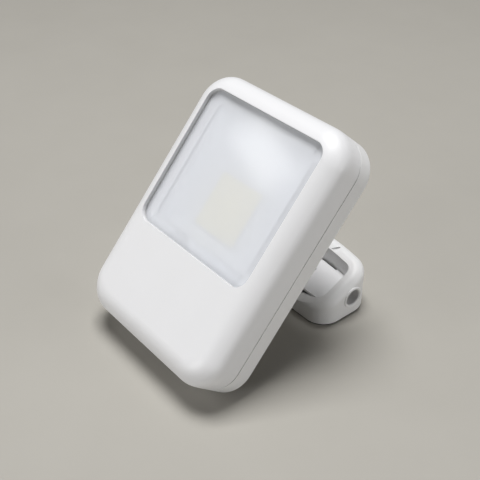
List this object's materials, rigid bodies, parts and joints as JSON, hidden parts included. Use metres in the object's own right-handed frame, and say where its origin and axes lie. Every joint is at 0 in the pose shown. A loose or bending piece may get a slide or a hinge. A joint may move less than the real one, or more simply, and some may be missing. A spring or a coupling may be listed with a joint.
{
  "type": "led security light",
  "caption": "White outdoor LED security light: flat rounded head with a frosted window, on a hinged arm in a small wall bracket with a side conduit entry.",
  "frame": {"origin": "in the bracket's wall face, on its middle line", "axes": "+Z away from the wall, +Y up the wall, +X to the right of someone facing the light"},
  "size_m": [0.139, 0.1749, 0.1624],
  "materials": {
    "white_moulding": "satin",
    "white_casting": "satin powder coat",
    "frosted_pane": "frosted",
    "seal_grey": "matt",
    "seal_black": "matt",
    "reflector_white": "satin",
    "phosphor": "satin",
    "board_white": "white solder mask",
    "board_green": "satin",
    "pad_pink": "matt",
    "bare_aluminium": "as extruded",
    "steel": "satin",
    "washer_nylon": "satin",
    "ferrite": "matt",
    "copper_wire": "varnished",
    "can_black": "satin",
    "terminal_grey": "satin",
    "gland_white": "satin",
    "tin": "tinned"
  },
  "bodies": {
    "bracket": {"wall_bracket": "white_casting", "cover_plate": "white_moulding", "wall_seal": "seal_black", "terminal_block": "terminal_grey", "terminal_screws": "steel", "earth_screw": "steel", "tilt_bolt": "steel", "tilt_nut": "steel"},
    "arm": {"arm": "white_casting", "tilt_washers": "washer_nylon", "swivel_washers": "washer_nylon"},
    "head": {"front_shell": "white_moulding", "rear_shell": "white_casting", "housing_seal": "seal_grey", "window_seal": "seal_grey", "window_pane": "frosted_pane", "reflector": "reflector_white", "led_emitter": "phosphor", "led_board": "board_white", "thermal_pad": "pad_pink", "heat_sink": "bare_aluminium", "led_screws": "steel", "housing_screws": "steel", "driver_board": "board_green", "transformer_core": "ferrite", "transformer_winding": "copper_wire", "driver_capacitors": "can_black", "driver_choke": "copper_wire", "driver_terminal": "terminal_grey", "driver_screws": "steel", "radar_board": "board_green", "radar_can": "tin", "radar_screws": "steel", "lead_gland": "gland_white", "gland_nut": "gland_white", "vent_plug": "washer_nylon", "swivel_bolt": "steel", "swivel_nut": "steel"}
  },
  "joints": [
    {"name": "head_tilt", "type": "hinge", "parent": "bracket", "child": "arm", "pos_m": [0, -0.0066, 0.024], "axis": [-1, 0, 0], "range_deg": [0, 78]},
    {"name": "head_swivel", "type": "hinge", "parent": "arm", "child": "head", "pos_m": [0, -0.04875, 0.06143], "axis": [0, 0.6639, 0.7478], "range_deg": [-30, 30]}
  ]
}
